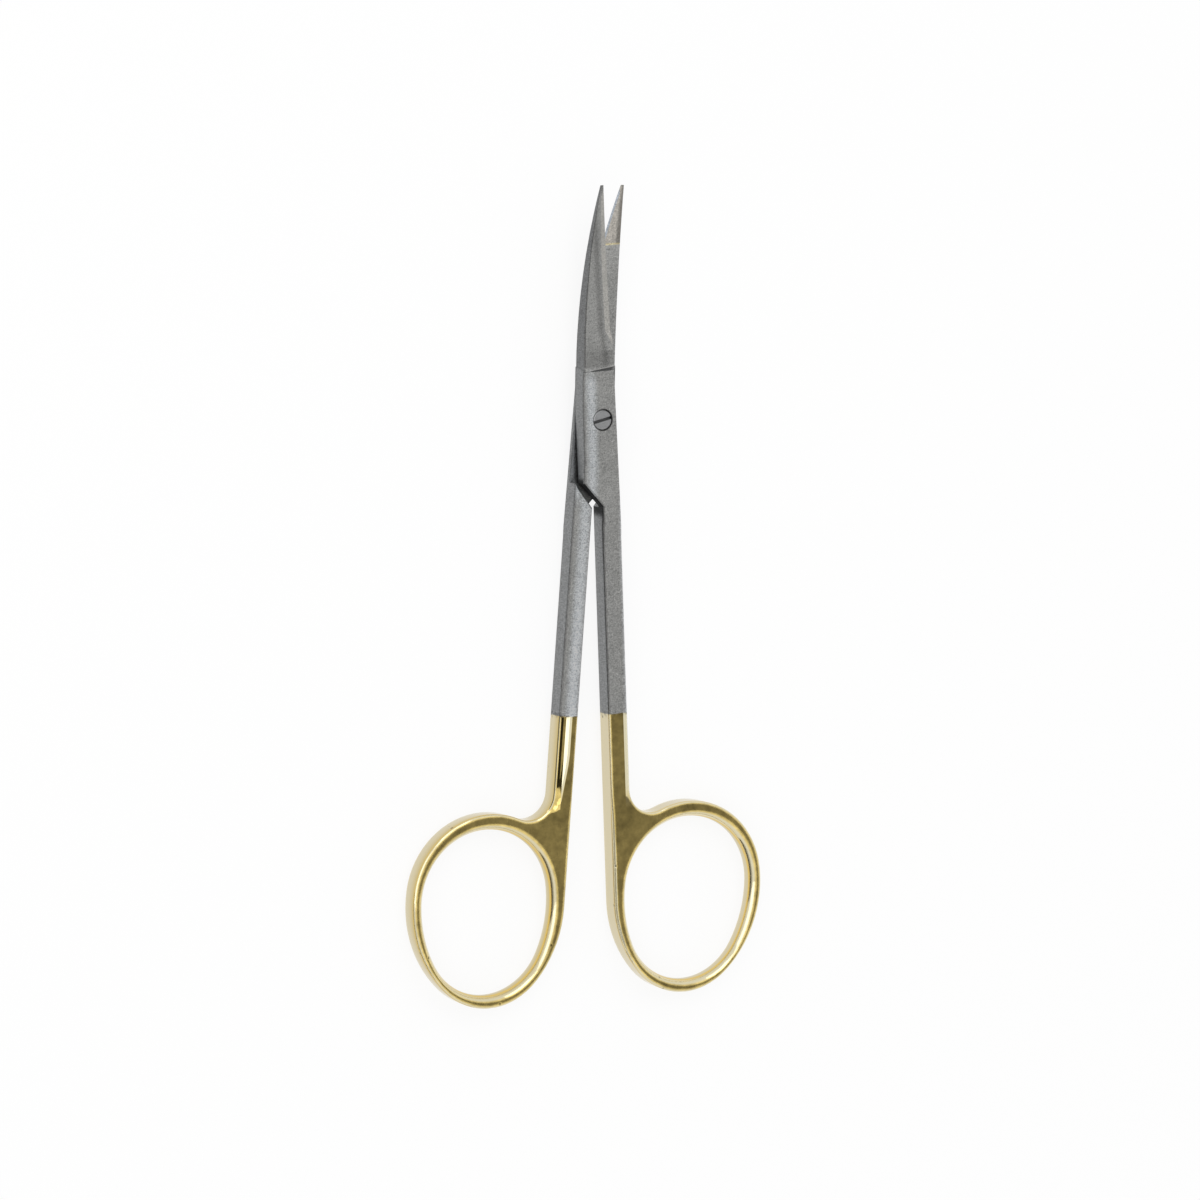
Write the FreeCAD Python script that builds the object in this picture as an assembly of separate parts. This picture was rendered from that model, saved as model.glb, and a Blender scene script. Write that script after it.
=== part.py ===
import FreeCAD
import Part

import math
import os

# Curved iris scissors with cutting inserts. All sizes in millimetres and degrees.
# Plan: X across, Y from the finger rings towards the tips, Z up through the pivot.
# Both arms are drawn closed, about the mating plane, and then opened and set on the ground.

# Overall
tip_y = 32.4                  # pivot to tips
ring_center_y = -67.55        # pivot to the widest line of a finger ring
open_half_angle = 3.3         # each arm is turned this far out of the closed position

# Joint
joint_half_thickness = 2.45
mating_clearance = 0.02       # each arm's face stands this far off the mating plane
joint_relief = 0.42           # the faces draw back by this much behind the pivot
relief_start_y = 1.5
block_end_y = 6.75            # top edge of the step in front of the joint block
block_end_run = 0.65          # the step's wall slants over this length
block_foot_height = 0.5       # and meets the blade's level here
back_margin = 0.05            # the block stands this far outside the blade's back
edge_margin = 0.2             # and this far outside its cutting edge
back_bulge = 0.25             # the block's arc stands out by this share of its lean
shoulder_outer_y = -8.7       # the shoulder runs from here, at the outer side,
shoulder_inner_y = -12.2      # to here, at the middle line
shoulder_clearance = 0.15
shoulder_cove = 0.35
shoulder_break = 0.22         # chamfer along the shoulder's upper edge
chamfer_land = 0.6            # upright side left under the joint's long chamfer
chamfer_width = 1.0           # it runs out at the end of the fall to the shank

# Shanks
shank_gap = 0.1               # between the two shanks when closed
shank_width = 2.95
shank_half_thickness = 1.4
taper_start_y = -1.0          # the joint's outer face starts to fall and its sides run straight here
taper_end_y = -19.0           # and is level with the shank here
edge_round = 0.3

# Finger rings
hole_half_width = 9.9
hole_upper_length = 10.35     # from the widest line to the end near the shank
hole_lower_length = 12.8      # and to the far end, which is more pointed
hole_side_radius = 17.5
ring_side_radius = 16.5
ring_tilt = -6.0              # lean of the ring's long axis
ring_wall_inner = 2.1         # on the shank's side
ring_wall_outer = 1.7
ring_wall_upper = 2.25
ring_wall_lower = 1.75
web_radius = 3.7              # concave corner between shank and ring
hole_round = 0.8              # the hole is this much wider at its two rims than at its waist

# Blades
blade_root_y = 5.5            # the blade's sections start inside the joint block
curve_start_y = 7.0
curve_radius = 85.0
root_spine = 2.75             # distance of the blade's back from the middle line
mid_spine = 1.78
tip_spine = 0.02
edge_overhang = 0.45          # the cutting edge lies this much further out than the back
root_thickness = 2.42
mid_thickness = 1.62
tip_thickness = 0.32
spine_draft = 0.05            # the back leans in by this share of the blade's thickness
spine_break = 0.08            # and its outer edge is broken by this share
bevel_limit = 1.45            # width that the cutting bevel tends to on a wide blade
bevel_ease = 1.75             # blade width at which it has reached half of that
bevel_angle = 28.0
blade_steps = 7               # the curved stretch is drawn through this many steps
bevel_start_y = 9.4           # the cutting bevel starts from nothing here
bevel_full_y = 12.0           # and is ground to the full width from here
root_edge_height = 1.15       # height of the blade's plain side between the joint and the bevel
edge_land = 0.03              # width of the honed cutting edge
edge_clearance = 0.03         # cutting edge off the curved mating surface
spine_clearance = 0.09        # and the back, which is ground hollow

# Cutting inserts
insert_start_y = 9.2
insert_full_y = 12.2
insert_end_gap = 0.5          # the insert stops this far short of the tip
insert_runout = 1.3           # its seam slants out to the edge over this length
insert_seam_inset = 0.06      # the seam lies this far inside the bevel

# Pivot screw
head_radius = 1.38
head_height = 0.85
head_clearance = 0.06
head_seat_clearance = 0.03
head_recess = 0.04
rim_break = 0.08
pin_radius = 1.0
pin_clearance = 0.03
thread_radius = 0.9
slot_width = 0.42
slot_depth = 0.45
slot_angle = 14.0             # the slot is turned this far from straight across

reach = 60.0                  # how far cutting tools run past the part
overshoot = 0.08              # and how far a shaped tool runs past the face it starts from
middle = FreeCAD.Vector(0, 0, 0)
z_axis = FreeCAD.Vector(0, 0, 1)
y_axis = FreeCAD.Vector(0, 1, 0)

shank_inner = shank_gap / 2
shank_outer = shank_inner + shank_width


def vec(x, y, z=0.0):
    return FreeCAD.Vector(x, y, z)


def quadratic(y, y_start, y_end, start, mid, end):
    """Value at y of the parabola through three values, evenly spaced along a stretch."""
    t = (y - y_start) / (y_end - y_start)
    return start * (1 - t) * (1 - 2 * t) + 4 * mid * t * (1 - t) + end * t * (2 * t - 1)


def spine(y):
    return quadratic(y, blade_root_y, tip_y, root_spine, mid_spine, tip_spine)


def thickness(y):
    return quadratic(y, blade_root_y, tip_y, root_thickness, mid_thickness, tip_thickness)


def edge(y):
    return spine(y) + edge_overhang


def bevel_width(y):
    width = spine(y) + edge(y)
    return bevel_limit * width / (width + bevel_ease)


def curve_height(y):
    """Rise of the surface between the blades, which curves up towards the tips."""
    return max(0.0, y - curve_start_y) ** 2 / (2 * curve_radius)


def plan_face(points):
    return Part.Face(Part.makePolygon([vec(x, y) for x, y in points + points[:1]]))


def upright(face, low, high):
    """Prism between two heights on a face drawn at height 0."""
    solid = face.extrude(vec(0, 0, high - low))
    solid.translate(vec(0, 0, low))
    return solid


def side_prism(edges):
    """Prism right across the part on a side-view outline drawn at x = 0."""
    solid = Part.Face(Part.Wire(edges)).extrude(vec(2 * reach, 0, 0))
    solid.translate(vec(-reach, 0, 0))
    return solid


def side_lines(points):
    places = [vec(0, y, z) for y, z in points]
    return [Part.makeLine(a, b) for a, b in zip(places, places[1:])]


def ring_axes():
    """Directions along and across a finger ring's long axis."""
    lean = math.radians(ring_tilt)
    return vec(-math.sin(lean), math.cos(lean)), vec(math.cos(lean), math.sin(lean))


def end_radius(half_width, length, side_radius):
    """Radius of the end arc that runs on tangent from the side arcs of an oval."""
    return (half_width ** 2 + length ** 2 - 2 * side_radius * half_width) / (2 * (length - side_radius))


def leaning_oval(center, half_width, upper_length, lower_length, side_radius):
    """Egg-shaped face of four tangent arcs whose long axis leans by the ring's tilt."""
    along, across = ring_axes()
    joints = []
    for s, length in ((1, -lower_length), (1, upper_length), (-1, upper_length), (-1, -lower_length)):
        end = end_radius(half_width, abs(length), side_radius)
        end_center = along * math.copysign(abs(length) - end, length)
        side_center = across * (half_width - side_radius) * s
        outward = (end_center - side_center).normalize()
        joints.append(center + end_center + outward * end)
    poles = [center + across * half_width, center + along * upper_length,
             center - across * half_width, center - along * lower_length]
    arcs = [Part.Arc(joints[i], poles[i], joints[(i + 1) % 4]).toShape() for i in range(4)]
    return Part.Face(Part.Wire(arcs))


def ring_half_width():
    return hole_half_width + (ring_wall_inner + ring_wall_outer) / 2


def ring_center():
    """Middle of a ring's outer oval, which touches the line of the shank's inner side."""
    reach_in = ring_side_radius - (ring_side_radius - ring_half_width()) * ring_axes()[1].x
    return vec(shank_inner + reach_in, ring_center_y)


def ring_outline():
    return leaning_oval(ring_center(), ring_half_width(), hole_upper_length + ring_wall_upper,
                        hole_lower_length + ring_wall_lower, ring_side_radius)


def hole_center():
    return ring_center() + ring_axes()[1] * ((ring_wall_inner - ring_wall_outer) / 2)


def hole_outline():
    return leaning_oval(hole_center(), hole_half_width, hole_upper_length, hole_lower_length,
                        hole_side_radius)


def hole_cutters():
    """One tool for each arc of a hole's outline; together they leave a wall rounded like a barrel."""
    rise = shank_half_thickness
    radius = (rise ** 2 + hole_round ** 2) / (2 * hole_round)
    high = rise + overshoot
    flare = radius - math.sqrt(radius ** 2 - high ** 2)
    tools = []
    for arc in hole_outline().Edges:
        pivot = arc.Curve.Center
        start = arc.valueAt(arc.FirstParameter) - pivot
        waist = start.Length
        ends = [vec(0, 0, -high), vec(waist + flare, 0, -high), vec(waist + flare, 0, high), vec(0, 0, high)]
        wall = Part.Arc(ends[1], vec(waist, 0), ends[2]).toShape()
        lines = [Part.makeLine(ends[i], ends[j]) for i, j in ((0, 1), (2, 3), (3, 0))]
        profile = Part.Face(Part.Wire([lines[0], wall, lines[1], lines[2]]))
        profile.rotate(middle, z_axis, math.degrees(math.atan2(start.y, start.x)))
        profile.translate(pivot)
        tools.append(profile.revolve(pivot, z_axis, math.degrees(arc.LastParameter - arc.FirstParameter)))
    return tools


def arm_plan():
    """Joint block and shank of one arm in plan, closed, with the block's slanted rear end."""
    touch_y = ring_center_y + (ring_side_radius - ring_half_width()) * ring_axes()[1].y
    block_top = block_end_y + block_end_run + back_margin
    left_top = vec(-spine(block_top) - back_margin, block_top)
    right_top = vec(edge(block_top) + edge_margin, block_top)
    left_low = vec(-shank_outer, taper_start_y)
    right_low = vec(shank_outer, taper_start_y)
    left_mid = (left_top + left_low) / 2 + vec(back_bulge * (left_low.x - left_top.x), 0)
    corners = [left_low, vec(-shank_outer, shoulder_outer_y), vec(shank_inner, shoulder_inner_y),
               vec(shank_inner, touch_y), vec(shank_outer, touch_y), right_low, right_top, left_top]
    edges = [Part.makeLine(a, b) for a, b in zip(corners, corners[1:])]
    edges.append(Part.Arc(left_top, left_mid, left_low).toShape())
    return Part.Face(Part.Wire(edges))


def side_envelope():
    """Side view of an arm: level joint block, a long soft fall, and the level shank."""
    top = joint_half_thickness
    low = shank_half_thickness
    foot_y = block_end_y + block_end_run
    start = vec(0, taper_start_y, top)
    end = vec(0, taper_end_y, low)
    halfway = (start + end) / 2
    radius = (start - end).Length ** 2 / (4 * (top - low))
    half_turn = math.asin((taper_start_y - taper_end_y) / (2 * radius)) / 2
    swing = vec(0, -math.sin(half_turn), math.cos(half_turn) - 1) * radius
    fall = [Part.Arc(start, start + swing, halfway).toShape(),
            Part.Arc(halfway, end - swing, end).toShape()]
    lines = side_lines([(taper_end_y, low), (-2 * reach, low), (-2 * reach, -low), (foot_y, -low),
                        (foot_y, block_foot_height), (block_end_y, top), (taper_start_y, top)])
    return side_prism(fall + lines)


def long_chamfer():
    """Tool for the chamfer on the joint's outer edge, which runs on over the root of the blade."""
    slope = chamfer_width / (joint_half_thickness - chamfer_land)
    drift = slope * (shank_half_thickness - chamfer_land) / (blade_root_y - taper_end_y)
    rings = []
    for y in (2 * blade_root_y, taper_end_y - shank_width):
        foot_x = shank_outer + drift * (blade_root_y - y)
        low = vec(foot_x + slope * joint_half_thickness, y, chamfer_land - joint_half_thickness)
        high = vec(foot_x - 2 * chamfer_width, y, 2 * joint_half_thickness - chamfer_land)
        rings.append(Part.makePolygon([low, high, vec(reach, y, high.z), vec(reach, y, low.z), low]))
    return Part.makeLoft(rings, True, True)


def shoulder_wall():
    """A point of the shoulder's wall outside the arm, its direction inwards, and away from the gap."""
    outer = vec(shank_outer, shoulder_outer_y)
    along = (vec(-shank_inner, shoulder_inner_y) - outer).normalize()
    away = vec(-along.y, along.x)
    return outer - along * shank_width + away * shoulder_clearance, along, away


def shoulder_chamfer():
    """Tool for the chamfer where the shoulder's wall meets the arm's outer face."""
    start, along, away = shoulder_wall()
    rim = start - z_axis * shank_half_thickness
    beyond = rim - (away + z_axis) * shoulder_break
    corners = [beyond, beyond + away * (3 * shoulder_break), beyond + z_axis * (3 * shoulder_break), beyond]
    return Part.Face(Part.makePolygon(corners)).extrude(along * (3 * shank_width))


def mating_cut():
    """Tool that takes away what lies under the mating face, up to the far arm's shoulder."""
    start, along, away = shoulder_wall()
    stop = start + along * reach
    plan = plan_face([(start.x, start.y), (stop.x, stop.y), (-reach, stop.y), (-reach, reach),
                      (reach, reach), (reach, start.y)])
    level = mating_clearance
    drawn = level + joint_relief * (relief_start_y + reach) / (relief_start_y - shoulder_inner_y)
    profile = side_lines([(reach, -reach), (reach, level), (relief_start_y, level), (-reach, drawn),
                          (-reach, -reach), (reach, -reach)])
    return upright(plan, -reach, reach).common(side_prism(profile))


def edges_where(shape, test):
    return [e for e in shape.Edges if test(e)]


def is_wall(face):
    """True for faces that stand upright all over."""
    low_u, high_u, low_v, high_v = face.ParameterRange
    spots = [(low_u + (high_u - low_u) * i / 4, low_v + (high_v - low_v) * j / 4)
             for i in (1, 2, 3) for j in (1, 2, 3)]
    return all(abs(face.normalAt(u, v).z) < 0.001 for u, v in spots)


def arm_blank():
    """Joint block, shank and ring of one arm, before its blade is joined on."""
    low = -2 * joint_half_thickness
    high = 2 * joint_half_thickness
    solid = upright(arm_plan(), low, high).fuse(upright(ring_outline(), low, high)).removeSplitter()

    def is_web_corner(e):
        upright_line = abs(e.BoundBox.ZLength - (high - low)) < 0.01
        beside_shank = abs(e.CenterOfMass.x - shank_outer) < 0.01
        return upright_line and beside_shank and ring_center_y < e.CenterOfMass.y < taper_end_y

    solid = solid.makeFillet(web_radius, edges_where(solid, is_web_corner))
    solid = solid.common(side_envelope())

    def is_outline(e):
        faces = solid.ancestorsOfType(e, Part.Face)
        walls = [f for f in faces if is_wall(f)]
        return len(walls) == 1 and len(faces) == 2 and e.BoundBox.YMax < block_end_y + 0.01

    return solid.makeFillet(edge_round, edges_where(solid, is_outline)).cut(hole_cutters())


def half_arm():
    """Arm without its blade, worked to the mating face, as the front arm lies."""
    solid = arm_blank().cut(long_chamfer()).cut(mating_cut()).cut(shoulder_chamfer())

    def is_shoulder_foot(e):
        box = e.BoundBox
        slanted = box.XLength > shank_width / 2 and box.YLength > shank_width / 2
        at_face = abs(e.CenterOfMass.z - mating_clearance) < 2 * joint_relief
        return slanted and at_face and e.CenterOfMass.x > shank_inner and box.YMax < taper_start_y

    return solid.makeFillet(shoulder_cove, edges_where(solid, is_shoulder_foot))


def blade_section(y, side, bevelled):
    """Outline of a blade at y; side is 1 for the front blade and -1 for the rear one."""
    back = -spine(y)
    high = thickness(y)
    broken = spine_break * high
    bevel = bevel_width(y) if bevelled else edge_land
    bevel_foot = edge_clearance + (edge_land if bevelled else root_edge_height)
    corners = [(back, spine_clearance),
               (back + spine_draft * high, high - broken),
               (back + spine_draft * high + broken, high),
               (edge(y) - bevel, bevel_foot + bevel * math.tan(math.radians(bevel_angle))),
               (edge(y), bevel_foot),
               (edge(y), edge_clearance)]
    base = curve_height(y)
    places = [vec(side * x, y, base + side * z) for x, z in corners]
    return Part.makePolygon(places + places[:1])


def blade(side):
    """Plain root, a stretch where the bevel comes in, and the curved cutting blade."""
    root, start = [blade_section(y, side, False) for y in (blade_root_y, bevel_start_y)]
    step = (tip_y - bevel_full_y) / blade_steps
    curved = [blade_section(bevel_full_y + step * i, side, True) for i in range(blade_steps + 1)]
    solid = Part.makeLoft(curved, True, False)
    solid = solid.fuse(Part.makeLoft([start, curved[0]], True, True))
    solid = solid.fuse(Part.makeLoft([root, start], True, True))
    chamfer = long_chamfer()
    if side < 0:
        chamfer.rotate(middle, y_axis, 180)
    return solid.cut(chamfer)


def insert_region(side):
    """Upright prism over a blade's cutting insert."""
    end_y = tip_y - insert_end_gap

    def seam(y):
        return vec(side * (edge(y) - bevel_width(y) - insert_seam_inset), y)

    last_y = end_y - insert_runout
    line = Part.BSplineCurve()
    line.interpolate([seam(insert_full_y + (last_y - insert_full_y) * i / 6) for i in range(7)])
    outside = side * 2 * shank_width
    start = vec(side * edge(insert_start_y), insert_start_y)
    end = vec(side * edge(end_y), end_y)
    corners = [end, vec(outside, end_y), vec(outside, insert_start_y), start, seam(insert_full_y)]
    edges = [line.toShape(), Part.makeLine(seam(last_y), end)]
    edges += [Part.makeLine(a, b) for a, b in zip(corners, corners[1:])]
    return upright(Part.Face(Part.Wire(edges)), -reach, reach)


def bore(radius, low, high):
    return Part.makeCylinder(radius, high - low, vec(0, 0, low))


def rim_cone(radius, top):
    """Tool that breaks the rim of a hole that opens at height top."""
    return Part.makeCone(radius, radius + 2 * rim_break, 2 * rim_break, vec(0, 0, top - rim_break))


head_top = joint_half_thickness - head_recess
head_seat = head_top - head_height


def front_arm():
    pocket = head_radius + head_clearance
    floor = head_seat - head_seat_clearance
    region = insert_region(1)
    solid = half_arm().fuse(blade(1).cut(region)).removeSplitter()
    solid = solid.cut(bore(pin_radius + pin_clearance, -1, reach))
    solid = solid.cut(bore(pocket, floor, reach))
    return solid.cut(rim_cone(pocket, joint_half_thickness))


def rear_arm():
    region = insert_region(-1)
    solid = half_arm().rotate(middle, y_axis, 180)
    solid = solid.fuse(blade(-1).cut(region)).removeSplitter()
    return solid.cut(bore(thread_radius, -reach, 1))


def insert(side):
    return blade(side).common(insert_region(side))


def pivot_screw():
    """Slotted flush screw whose tail is ground level with the rear arm's outer face."""
    foot = -mating_clearance
    solid = bore(head_radius, head_seat, head_top).fuse(bore(pin_radius, foot, head_seat))
    solid = solid.fuse(bore(thread_radius, -joint_half_thickness, foot))
    solid = solid.makeChamfer(rim_break, edges_where(solid, lambda e: e.BoundBox.ZMin > head_top - 0.001))
    slot = Part.makeBox(4 * head_radius, slot_width, reach, vec(-2 * head_radius, -slot_width / 2, 0))
    slot.translate(vec(0, 0, head_top - slot_depth))
    slot.rotate(middle, z_axis, slot_angle)
    return solid.cut(slot)


def place(solid, turn):
    """Turn a closed-position solid out about the pivot and raise the rest face to height 0."""
    solid.rotate(middle, z_axis, turn)
    solid.translate(vec(0, 0, joint_half_thickness))
    return solid


parts = {
    "front_arm": place(front_arm(), open_half_angle),
    "front_cutting_insert": place(insert(1), open_half_angle),
    "rear_arm": place(rear_arm(), -open_half_angle),
    "rear_cutting_insert": place(insert(-1), -open_half_angle),
    "pivot_screw": place(pivot_screw(), 0),
}

os.makedirs("parts", exist_ok=True)
for name, shape in parts.items():
    shape.exportStep("parts/" + name + ".step")
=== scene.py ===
import math

import bpy
from mathutils import Matrix, Vector

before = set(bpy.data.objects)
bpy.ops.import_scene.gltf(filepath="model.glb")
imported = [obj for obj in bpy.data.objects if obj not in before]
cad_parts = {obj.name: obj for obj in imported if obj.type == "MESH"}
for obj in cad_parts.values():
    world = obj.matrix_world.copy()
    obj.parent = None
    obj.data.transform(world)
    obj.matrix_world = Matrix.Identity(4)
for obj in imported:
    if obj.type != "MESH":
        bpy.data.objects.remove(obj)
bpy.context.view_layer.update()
print("frame loaded:", ", ".join(sorted(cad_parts)))


class Wire:                                          # a socket that can be used in sums
    def __init__(self, tree, socket=None):
        self.tree = tree
        self.socket = socket

    def node(self, kind, settings=None, inputs=None, out=0):
        made = self.tree.nodes.new(kind)
        for name, value in (settings or {}).items():
            setattr(made, name, value)
        for name, value in (inputs or {}).items():
            socket = made.inputs[name]
            if isinstance(value, Wire):
                self.tree.links.new(value.socket, socket)
            elif isinstance(value, tuple) and socket.type == "RGBA" and len(value) == 3:
                socket.default_value = (*value, 1)
            else:
                socket.default_value = value
        return Wire(self.tree, made.outputs[out] if made.outputs else None)

    def maths(self, operation, first, second=0.0):
        return self.node("ShaderNodeMath", {"operation": operation}, {0: first, 1: second})

    def __add__(self, other): return self.maths("ADD", self, other)
    def __radd__(self, other): return self.maths("ADD", other, self)
    def __sub__(self, other): return self.maths("SUBTRACT", self, other)
    def __rsub__(self, other): return self.maths("SUBTRACT", other, self)
    def __mul__(self, other): return self.maths("MULTIPLY", self, other)
    def __rmul__(self, other): return self.maths("MULTIPLY", other, self)
    def __abs__(self): return self.maths("ABSOLUTE", self)

    def least(self, other):
        return self.maths("MINIMUM", self, other)

    def most(self, other):
        return self.maths("MAXIMUM", self, other)

    def root(self):
        return self.maths("SQRT", self)

    def over(self, limit):                           # how far it lies above a limit, else 0
        return (self - limit).most(0.0)

    def step(self, low, high):                       # soft step from 0 at low to 1 at high
        return self.node("ShaderNodeMapRange", {"interpolation_type": "SMOOTHSTEP"},
                         {"Value": self, "From Min": low, "From Max": high})

    def past(self, place, blur):                     # soft step with its middle at a place
        return self.step(place - blur, place + blur)

    def hill(self, center, width):                   # 1 at center, 0 beyond width on both sides
        return 1 - abs(self - center).step(0.0, width)

    def split(self):
        made = self.node("ShaderNodeSeparateXYZ", {}, {0: self})
        return [Wire(self.tree, socket) for socket in made.socket.node.outputs]

    def noise(self, scale, detail=3.0, roughness=0.5):
        return self.node("ShaderNodeTexNoise", {}, {"Vector": self, "Scale": scale, "Detail": detail,
                                                    "Roughness": roughness})

    def stretch(self, x, y, z):                      # the same place on stretched axes
        return self.node("ShaderNodeMapping", {}, {"Vector": self, "Scale": (x, y, z)})

    def spots(self, scale, size):                    # scattered round spots, 1 in their middle
        cells = self.node("ShaderNodeTexVoronoi", {}, {"Vector": self, "Scale": scale})
        return 1 - cells.step(size * 0.4, size)

    def blend(self, share, first, second):           # colour mix
        return self.node("ShaderNodeMix", {"data_type": "RGBA"}, {0: share, 6: first, 7: second}, out=2)

    def bend(self, share, first, second):            # mix of two normals
        return self.node("ShaderNodeMix", {"data_type": "VECTOR"}, {0: share, 4: first, 5: second}, out=1)

    def shade(self, color, amount):                  # colour times a grey value
        return self.node("ShaderNodeVectorMath", {"operation": "SCALE"}, {0: color, "Scale": amount})

    def dent(self, height, shape=None):              # normal from a height in mm, on a given normal
        inputs = {"Strength": 1.0, "Distance": 0.001, "Height": height}
        if shape is not None:
            inputs["Normal"] = shape
        return self.node("ShaderNodeBump", {}, inputs)


def newMaterial(name):
    material = bpy.data.materials.new(name)
    material.use_nodes = True
    material.node_tree.nodes.clear()
    return material, Wire(material.node_tree)


def finishMaterial(start, color, roughness, normal):             # every finish here is bare metal
    surface = start.node("ShaderNodeBsdfPrincipled", {}, {"Base Color": color, "Roughness": roughness,
                                                          "Metallic": 1.0, "Normal": normal})
    start.node("ShaderNodeOutputMaterial", {}, {"Surface": surface})


def wear(material, node):                            # put a material on a CAD node
    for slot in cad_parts[node].material_slots:
        slot.material = material


# Arms: satin steel, with the rings and lower shanks plated in polished gold
arm = {
    "openAngle": 3.3,                                # degrees, each arm out of the closed position
    "pivotHeight": 2.45,                             # mm, as are all the places below
    "steel": (0.50, 0.50, 0.485),
    "steelHighlight": (0.92, 0.96, 0.99),                 # painted highlight bands along the joint and the shanks
    "steelSide": (0.225, 0.229, 0.231),
    "steelWarm": (0.62, 0.585, 0.53),                # inner face near the tip, worn by the other blade
    "steelLine": (0.95, 0.82, 0.50),                 # yellow line where that wear begins
    "steelRoughness": 0.36,
    "goldFlat": (0.80, 0.61, 0.21),
    # painted highlight colour for the rounded edges
    "goldHighlight": (0.86, 0.79, 0.55),
    # painted reflection of the white floor on the gold's sides
    "goldSideReflection": (0.71, 0.63, 0.43),
    "goldSideShade": (0.62, 0.48, 0.19),                  # painted shade on the rear ring's sides towards their upper edge
    # painted reflection: a yellow line partway round the rounded edges
    "goldEdgeReflection": (0.80, 0.56, 0.14),
    "goldRoughness": 0.045,
    "softEdge": 0.40,                                # rounding that polishing left on the edges
    "softRing": 0.95,                                # and on the rings
    "platingEdge": -41.3,
    "shankOuter": 3.0,
    "shankTop": -9.0,
    "ringTop": -52.0,
    "frontHighlight": (-1.7, 1.3),                        # middle and half width of the joint's painted highlight band
    "frontHighlightShare": 0.80,
    "frontRimHighlight": (2.35, 2.8),                         # start and full strength of the painted highlight on the rim of its shank
    "frontRimHighlightShare": 0.30,
    # the rear arm's painted highlight band on its shank, and on its outer rim above the shank
    "rearHighlight": (1.15, 1.45),
    "rearRimHighlight": (1.2, 2.6),
    "rearRimHighlightShare": 0.8,
    "paintedJointShade": 0.55,                                   # painted shade on the faces inside the joint: how dark it is
    "paintedJointShadeHeight": (0.5, 0.7),                       # it fades between these heights off the mating plane
    "paintedCreaseShade": (0.66, 0.52),                      # painted shade on edges that look left, and how much less on those that look right
    "blade": (5.5, 32.4),                            # from its root to the tip
    "bladeFinish": (7.0, 7.6),                       # where the blade's own finish begins
    "bladeBack": (2.75, 1.78, 0.02),                 # its distance from the middle line: root, middle, tip
    "bladeDark": 0.30,                               # ground outer side, darker in its middle
    "bladeMiddle": (1.9, 1.0, 0.22),                 # distance from the edge, half width, share
    "edgeOverhang": 0.45,
    "wornFrom": 24.2,
    "wornLean": 0.12,
    "wornBlur": 0.15,
    "wornLineWidth": 0.22,
    "pits": (0.55, 0.10),                            # density and size of the pits in the steel
    "pocketRadius": 1.44,
    "pocketDark": 0.88,
    "endWallDark": 0.80,
    "stepWall": (7.05, 0.5),
    "stepWallDark": 0.42,
    "goldPits": (0.42, 0.13),
    "goldTone": 0.94,
    "platingBlur": 0.12,
    "smudgeWidth": 0.7,
    "smudgeDark": 0.35,
}


def armSpace(start, front):
    # the closed arm's own millimetres; the rear arm is turned over so that both read alike
    flip = 1000 if front else -1000
    height = -arm["pivotHeight"] if front else arm["pivotHeight"]
    coords = start.node("ShaderNodeTexCoord", out=3)
    return start.node("ShaderNodeMapping", {}, {"Vector": coords, "Scale": (flip, 1000, flip),
                                                "Rotation": (0, 0, math.radians(-arm["openAngle"])),
                                                "Location": (0, 0, height)})


def bladeBack(y):
    root, tip = arm["blade"]
    first, mid, last = arm["bladeBack"]
    t = (y - root) * (1 / (tip - root))
    return (1 - t) * (1 - 2 * t) * first + t * (1 - t) * (4 * mid) + t * (2 * t - 1) * last


def edgeDistance(x, y):                              # from the cutting edge inwards
    return bladeBack(y) + arm["edgeOverhang"] - x


def wornTip(x, y):
    # 1 beyond the slanting line where the wear begins, and 1 on that line
    along = y + x * arm["wornLean"]
    return along.past(arm["wornFrom"], arm["wornBlur"]), along.hill(arm["wornFrom"], arm["wornLineWidth"])


def grain(place):
    # fine speckle of the satin finish, cloudier patches, and faint strokes across the length
    speckle = place.noise(3.4, 5.0, 0.72)
    fine = place.noise(7.5, 2.0, 0.6)
    cloud = place.noise(0.30, 3.0, 0.6)
    brushed = place.stretch(0.5, 4.0, 1.0).noise(1.4, 3.0, 0.65)
    tone = 1 + (speckle - 0.5) * 1.3 + (fine - 0.5) * 1.8 + (cloud - 0.5) * 0.30 + (brushed - 0.5) * 0.5
    return tone, speckle, brushed


def innerFace(start, front):
    # 1 on the side that faces the other arm
    lean = start.node("ShaderNodeTexCoord", out=1).split()[2]
    return (lean * (-1 if front else 1)).step(0.5, 0.7)


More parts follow.
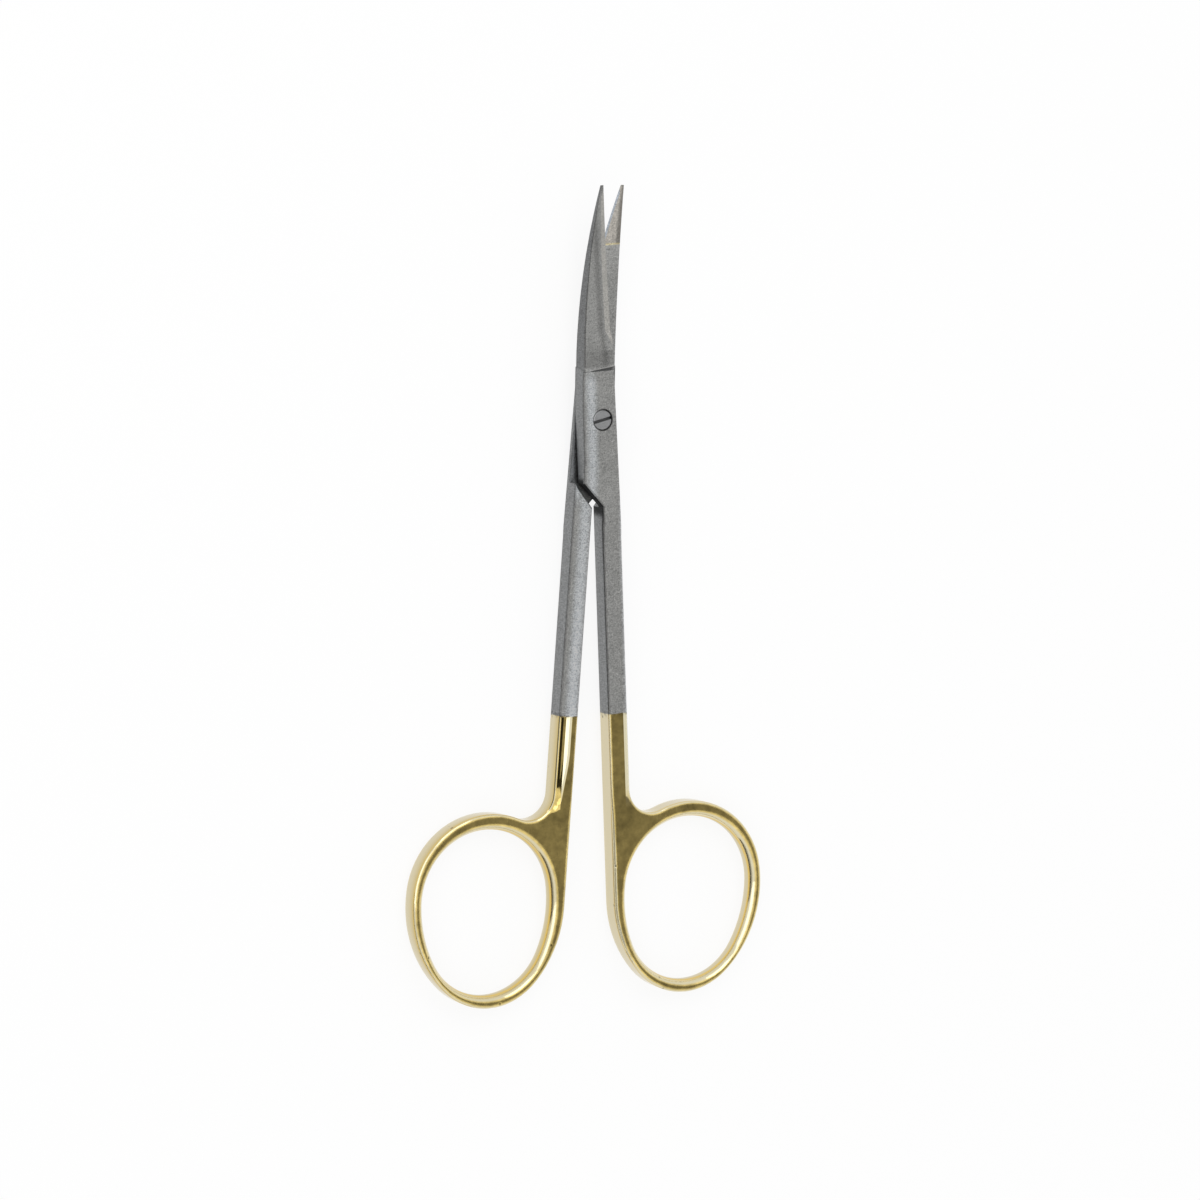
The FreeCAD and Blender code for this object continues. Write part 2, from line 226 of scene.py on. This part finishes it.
def armMaterial(name, front):
    material, start = newMaterial(name)
    place = armSpace(start, front)
    x, y, z = place.split()
    side = 1 if front else -1                        # the rear arm's left is the other way round
    edges = start.node("ShaderNodeBevel", {"samples": 6}, {"Radius": arm["softEdge"] * 0.001})
    rings = start.node("ShaderNodeBevel", {"samples": 16}, {"Radius": arm["softRing"] * 0.001})
    soft = edges.bend(1 - y.step(arm["ringTop"] - 5.0, arm["ringTop"] + 1.0), edges, rings)
    sharp = start.node("ShaderNodeNewGeometry", out=1)
    facing = start.node("ShaderNodeTexCoord", out=1).split()
    softFacing = soft.split()
    flat = abs(facing[2])
    upright = 1 - flat.step(0.25, 0.85)              # 1 on the sides
    softFlat = abs(softFacing[2])
    crease = softFlat.step(0.22, 0.50) * (1 - softFlat.step(0.975, 0.997))   # 1 on the rounded edges
    shank = 1 - y.step(arm["shankTop"] - 4, arm["shankTop"])
    blade = y.step(*arm["bladeFinish"])
    inner = innerFace(start, front)
    face = 1 - upright

    # steel
    tone, speckle, brushed = grain(place)
    # painted highlight bands on the front faces of the steel
    if front:
        paintedHighlight = x.hill(*arm["frontHighlight"]) * y.step(-18.0, -6.0) * (1 - y.step(5.0, 7.4))
        paintedHighlight = paintedHighlight * arm["frontHighlightShare"] + x.step(*arm["frontRimHighlight"]) * shank * arm["frontRimHighlightShare"]
    else:
        paintedHighlight = x.hill(*arm["rearHighlight"]) * (0.75 + 0.25 * (1 - y.step(-36.0, -12.0))) * shank
        paintedHighlight = paintedHighlight + x.step(*arm["rearRimHighlight"]) * (1 - shank) * arm["rearRimHighlightShare"]
    steel = start.blend(paintedHighlight * face, arm["steel"], arm["steelHighlight"])
    steel = start.blend(upright, steel, arm["steelSide"])
    away = softFacing[0].step(-0.2, 0.2)             # painted shade: edges that look away to the left are darker
    darkest, lighter = arm["paintedCreaseShade"]
    tone = tone * (1 - crease * (1 - blade) * (darkest - lighter * away))
    strokes = place.stretch(1.0, 5.0, 1.0).noise(1.3, 3.0, 0.6)
    tone = tone * (1 + upright * (strokes - 0.5) * 0.9)
    # painted shade on the faces inside the joint, near the mating plane
    jointShadeMask = arm["paintedJointShade"] * inner * (1 - abs(z).step(*arm["paintedJointShadeHeight"])) * (1 - blade)
    tone = tone * (1 - jointShadeMask)
    # painted shade on the blade's slanted spine faces, on its outer side
    tone = tone * (1 - 0.65 * blade * flat.hill(0.72, 0.26) * (1 - inner))
    middle, halfWidth, middleDark = arm["bladeMiddle"]
    outerBlade = blade * (1 - inner) * face
    ground = arm["bladeDark"] + middleDark * edgeDistance(x, y).hill(middle, halfWidth)
    tone = tone * (1 - outerBlade * ground)
    tone = tone * (1 - 0.25 * blade * upright)
    beyond, onLine = wornTip(x, y)
    worn = blade * inner * face * beyond
    steel = start.blend(worn, steel, arm["steelWarm"])
    tone = tone * (1 - 0.52 * worn * (1 - (x - 0.1 * (y - arm["wornFrom"])).step(-0.75, -0.25)))
    steel = start.blend(blade * inner * face * onLine, steel, arm["steelLine"])
    pits = place.spots(*arm["pits"]) * place.noise(0.4, 1.0).step(0.52, 0.60)
    steel = start.shade(steel, tone * (1 - 0.45 * pits))

    # deep places that the light hardly reaches: the screw's pocket, the gap at the shoulder, the step
    radius = (x * x + y * y).root()
    pocket = (1 - radius.step(arm["pocketRadius"] + 0.01, arm["pocketRadius"] + 0.05)) * upright
    pocket = pocket + radius.hill(arm["pocketRadius"] + 0.04, 0.13) * 0.8 * (1 - pocket)
    endWall = (1 - (facing[0] * side + facing[1]).step(-1.2, -0.7)) * (1 - y.step(-8.4, -7.8))
    endWall = endWall * y.step(-14.0, -12.8)
    stepWall = y.hill(*arm["stepWall"]) * facing[1].step(0.25, 0.7) * x.step(-2.2, -0.6)
    dark = 1 - arm["pocketDark"] * pocket
    dark = dark * (1 - arm["endWallDark"] * endWall) * (1 - arm["stepWallDark"] * stepWall)
    steel = start.shade(steel, dark)
    roughSteel = arm["steelRoughness"] + 0.14 * (speckle - 0.5) + 0.1 * pits + 0.5 * endWall

    # the plated shanks fall away to the outside; the rear one in facets
    reach = x.least(arm["shankOuter"])
    shanks = y.step(arm["ringTop"] - 3.0, arm["ringTop"] + 1.0) * face
    if front:
        below = (-68.0 - y).over(0.0)
        limb = 0.05 + 0.45 * (1 - y.step(-62.0, -47.0)) + below * below * 0.03
        fade = y.step(-76.0, -73.0) * (1 - y.step(-49.0, -46.0)) * face
        crown = reach.over(2.3) * 0.5 * shanks + (limb - x).over(0.0) * 0.5 * fade
        # painted highlight along the shank's outer rim, and on its inner edge lower down
        shankHighlight = reach.step(2.25, 2.35) * shanks + (limb - x).step(0.0, 0.05) * fade
    else:
        first = 0.95 + (1 - y.step(-55.0, -46.0)) * 0.9
        rounded = (reach - first).over(0.0).least(0.95)
        crown = rounded * 0.25 + rounded * rounded * 0.32 + reach.over(1.9) * 1.25 + reach.over(2.3) * 0.35
        crown = crown * shanks
        # painted highlight where the rear shank starts to round off
        shankHighlight = rounded.step(0.0, 0.08) * (1 - reach.step(1.85, 1.95)) * shanks

    # gold
    mottle = place.noise(0.8, 4.0, 0.62) + 0.8 * (place.noise(0.22, 2.0) - 0.5)
    scuff = place.stretch(3.0, 0.9, 1.0).noise(1.5, 5.0, 0.7).step(0.50, 0.72)
    scuff = scuff * place.noise(0.16, 2.0).step(0.45, 0.6)
    # painted highlight on the rounded edges and along the shank rims
    roundHighlight = 1 - softFlat.step(0.80, 0.98)
    roundHighlight = roundHighlight.most(shankHighlight)
    gold = start.blend(roundHighlight, arm["goldFlat"], arm["goldHighlight"])
    # painted reflection of the white floor on the sides
    gold = start.blend(upright, gold, arm["goldSideReflection"])
    # painted shade on the rear ring's sides towards their upper edge
    if not front:
        gold = start.blend(upright * (1 - z.step(-1.4, 0.6)) * 0.85, gold, arm["goldSideShade"])
    # painted reflection: a yellow line partway round the rounded edges
    gold = start.blend(softFlat.hill(0.40, 0.16), gold, arm["goldEdgeReflection"])
    goldPits = place.spots(*arm["goldPits"]) * place.noise(0.33, 1.0).step(0.50, 0.58)
    goldTone = arm["goldTone"] + ((mottle - 0.5) * 1.1 + 0.30 * scuff) * (1 - roundHighlight)
    gold = start.shade(gold, goldTone * (1 - 0.6 * goldPits))
    roughGold = arm["goldRoughness"] + (0.10 * (mottle - 0.5) + 0.10 * scuff) * (1 - roundHighlight)
    roughGold = roughGold + 0.2 * goldPits

    # edge of the plating
    wander = place.noise(0.8, 3.0) * 0.5 - 0.25
    plated = 1 - (y + wander).past(arm["platingEdge"], arm["platingBlur"])
    smudge = (y + wander).hill(arm["platingEdge"], arm["smudgeWidth"])
    smudge = smudge * place.noise(1.4, 3.0, 0.6).step(0.42, 0.62)
    color = start.shade(start.blend(plated, steel, gold), 1 - arm["smudgeDark"] * smudge)
    roughness = roughSteel + plated * (roughGold - roughSteel) + 0.12 * smudge

    dents = (1 - plated) * (speckle * 0.012 + brushed * 0.008 - pits * 0.03)
    dents = dents + plated * (mottle * 0.010 - goldPits * 0.03) - crown * plated
    finishMaterial(start, color, roughness, start.dent(dents, start.bend(1 - blade, sharp, soft)))
    return material


wear(armMaterial("frontArmFinish", True), "front_arm")
wear(armMaterial("rearArmFinish", False), "rear_arm")
print("arms finished")


# Cutting inserts: finely ground carbide
insert = {
    "front": (0.36, 0.36, 0.345),                    # inner sides, which face the other blade
    "rear": (0.52, 0.525, 0.52),
    "bevel": (0.42, 0.41, 0.385),                    # the ground outer side
    "landWidth": 0.32,                               # pale strip along the edge, on the inner side
    "landFrom": (20.0, 24.0),
    "land": (0.55, 0.60, 0.66),
    "roughness": 0.30,
    "grindPitch": 7.0,                               # grinding marks per mm
}


def insertMaterial(name, front):
    material, start = newMaterial(name)
    place = armSpace(start, front)
    x, y = place.split()[:2]
    marks = place.stretch(0.6, insert["grindPitch"], 1.0).noise(1.0, 3.0, 0.6)
    tone = grain(place)[0]
    inner = innerFace(start, front)
    color = start.blend(1 - inner, insert["front" if front else "rear"], insert["bevel"])
    beyond, onLine = wornTip(x, y)
    color = start.blend(inner * beyond, color, arm["steelWarm"])
    color = start.blend(inner * onLine, color, arm["steelLine"])
    land = inner * (1 - edgeDistance(x, y).past(insert["landWidth"], 0.06))
    color = start.blend(land * y.step(*insert["landFrom"]), color, insert["land"])
    color = start.shade(color, tone * (0.88 + 0.24 * marks))
    finishMaterial(start, color, insert["roughness"] + 0.12 * marks, start.dent(marks * 0.006))
    return material


wear(insertMaterial("frontInsertFinish", True), "front_cutting_insert")
wear(insertMaterial("rearInsertFinish", False), "rear_cutting_insert")
print("inserts finished")


# Pivot screw
screw = {
    "color": (0.46, 0.465, 0.47),
    "roughness": 0.34,
    "slotAngle": -14.0,                              # degrees, as its turning marks run beside the slot
    "slotFloor": 4.41,                               # mm above the ground
    "top": 4.86,
}


def screwMaterial():
    material, start = newMaterial("pivotScrewFinish")
    coords = start.node("ShaderNodeTexCoord", out=3)
    place = start.node("ShaderNodeMapping", {}, {"Vector": coords, "Scale": (1000, 1000, 1000),
                                                 "Rotation": (0, 0, math.radians(screw["slotAngle"]))})
    height = place.split()[2]
    speckle = place.noise(5.0, 4.0, 0.7)
    brushed = place.stretch(0.8, 7.0, 1.0).noise(1.0, 3.0, 0.6)
    # painted shade in the slot and on the screw's sides down in its pocket
    slotShade = (1 - height.step(screw["slotFloor"] + 0.02, screw["top"] - 0.06)) * height.step(2.0, 2.1)
    slotShade = slotShade * (1 - 0.35 * brushed)
    color = start.shade(screw["color"], (0.60 + 0.60 * speckle + 0.22 * brushed) * (1 - 0.88 * slotShade))
    dents = speckle * 0.010 + brushed * 0.006
    finishMaterial(start, color, screw["roughness"] + 0.1 * speckle, start.dent(dents))
    return material


wear(screwMaterial(), "pivot_screw")
print("screw finished")


# Studio: white floor, soft light from above and the left, a grey card on the right
studio = {
    "floorSize": 3.0,
    "floorColor": (0.94, 0.94, 0.94),
    "floorShadow": 0.14,                             # how much of the object's shadow shows
    "horizon": 0.85,
    "ceiling": 0.92,
    "card": (0.56, -0.12, 0.80),                     # direction of the grey card
    "cardReach": (18.5, 22.0),                       # degrees from its middle to full and to no effect
    "cardShade": 0.24,
    "room": (-0.86, -0.50),                          # direction of the dark room, seen low on the left
    "roomReach": (0.80, 0.86),
    "roomEdge": 0.03,
    "roomHeight": (0.16, 0.19),
    "roomDusk": 0.36,                                # a dimmer strip above it
    "duskHeight": (0.38, 0.42),
    "lamps": {                                       # place, size in m, watts
        "lampLeft": ((-0.55, 0.10, 0.60), 0.60, 0.9),
        "lampTop": ((-0.05, 0.45, 0.70), 0.50, 1.0),
    },
}


def makeFloor():
    bpy.ops.mesh.primitive_plane_add(size=studio["floorSize"])
    floor = bpy.context.object
    floor.name = "studioFloor"
    material, start = newMaterial("floorPaper")
    rays = start.node("ShaderNodeLightPath")
    outputs = rays.socket.node.outputs
    seen = [Wire(start.tree, outputs[n]) for n in ("Is Camera Ray", "Is Glossy Ray", "Is Transmission Ray")]
    share = (seen[0] + seen[1] + seen[2]).step(0.0, 1.0) * (1 - studio["floorShadow"])
    paper = start.node("ShaderNodeBsdfDiffuse", {}, {"Color": studio["floorColor"]})
    glow = start.node("ShaderNodeEmission", {}, {"Color": (1.0, 1.0, 1.0), "Strength": 1.0})
    mixed = start.node("ShaderNodeMixShader", {}, {0: share, 1: paper, 2: glow})
    start.node("ShaderNodeOutputMaterial", {}, {"Surface": mixed})
    floor.data.materials.append(material)


def makeWorld():
    world = bpy.data.worlds.new("studioWorld")
    bpy.context.scene.world = world
    world.use_nodes = True
    world.node_tree.nodes.clear()
    start = Wire(world.node_tree)
    coords = start.node("ShaderNodeTexCoord", out=0)
    x, y, z = coords.split()
    glow = studio["horizon"] + z.step(0.05, 0.8) * (studio["ceiling"] - studio["horizon"])
    card = Vector(studio["card"]).normalized()
    near = x * card.x + y * card.y + z * card.z
    full, none = (math.cos(math.radians(angle)) for angle in studio["cardReach"])
    glow = glow + near.step(none, full) * (studio["cardShade"] - glow)
    left = (x * studio["room"][0] + y * studio["room"][1]).step(*studio["roomReach"])
    glow = glow + (1 - z.step(*studio["duskHeight"])) * left * (studio["roomDusk"] - glow)
    glow = glow + (1 - z.step(*studio["roomHeight"])) * left * (studio["roomEdge"] - glow)
    light = start.node("ShaderNodeBackground", {}, {"Color": (1.0, 1.0, 1.0), "Strength": glow})
    start.node("ShaderNodeOutputWorld", {}, {"Surface": light})


def makeLamps():
    for name, (place, size, watts) in studio["lamps"].items():
        data = bpy.data.lights.new(name, "AREA")
        data.size = size
        data.energy = watts
        lamp = bpy.data.objects.new(name, data)
        bpy.context.scene.collection.objects.link(lamp)
        lamp.location = place
        lamp.rotation_euler = (-Vector(place)).to_track_quat("-Z", "Y").to_euler()


makeFloor()
makeWorld()
makeLamps()
print("studio ready")


# Camera: above the left side of the scissors, rings towards the viewer
camera = {
    "turn": 29.0,                                    # degrees towards -X from straight above
    "lift": 7.0,                                     # degrees towards the tips
    "roll": 1.08,
    "distance": 0.8,
    "pixelsPerMm": 7.27,
    "aim": (0, 0, 0.00486),                          # middle of the screw's head
    "aimPixel": (602.8, 420.0),
    "imageSize": 1200,
}


def makeCamera():
    turn, lift, roll = (math.radians(camera[k]) for k in ("turn", "lift", "roll"))
    back = Vector((-math.sin(turn) * math.cos(lift), math.sin(lift), math.cos(turn) * math.cos(lift)))
    up = Vector((0, 1, 0))
    up = (up - up.dot(back) * back).normalized()
    right = up.cross(back)
    across = math.cos(roll) * right + math.sin(roll) * up
    upward = math.cos(roll) * up - math.sin(roll) * right
    half = camera["imageSize"] / 2
    perMm = camera["pixelsPerMm"] * 1000
    shiftX = (camera["aimPixel"][0] - half) / perMm
    shiftY = (half - camera["aimPixel"][1]) / perMm
    spot = Vector(camera["aim"]) - across * shiftX - upward * shiftY + back * camera["distance"]
    data = bpy.data.cameras.new("photoCamera")
    data.sensor_width = 36
    data.lens = camera["pixelsPerMm"] * camera["distance"] * 1000 / camera["imageSize"] * 36
    data.clip_start = 0.01
    data.clip_end = 10
    eye = bpy.data.objects.new("photoCamera", data)
    bpy.context.scene.collection.objects.link(eye)
    eye.matrix_world = Matrix.Translation(spot) @ Matrix((across, upward, back)).transposed().to_4x4()
    bpy.context.scene.camera = eye


makeCamera()
bpy.context.scene.view_settings.view_transform = "Standard"
print("camera set")
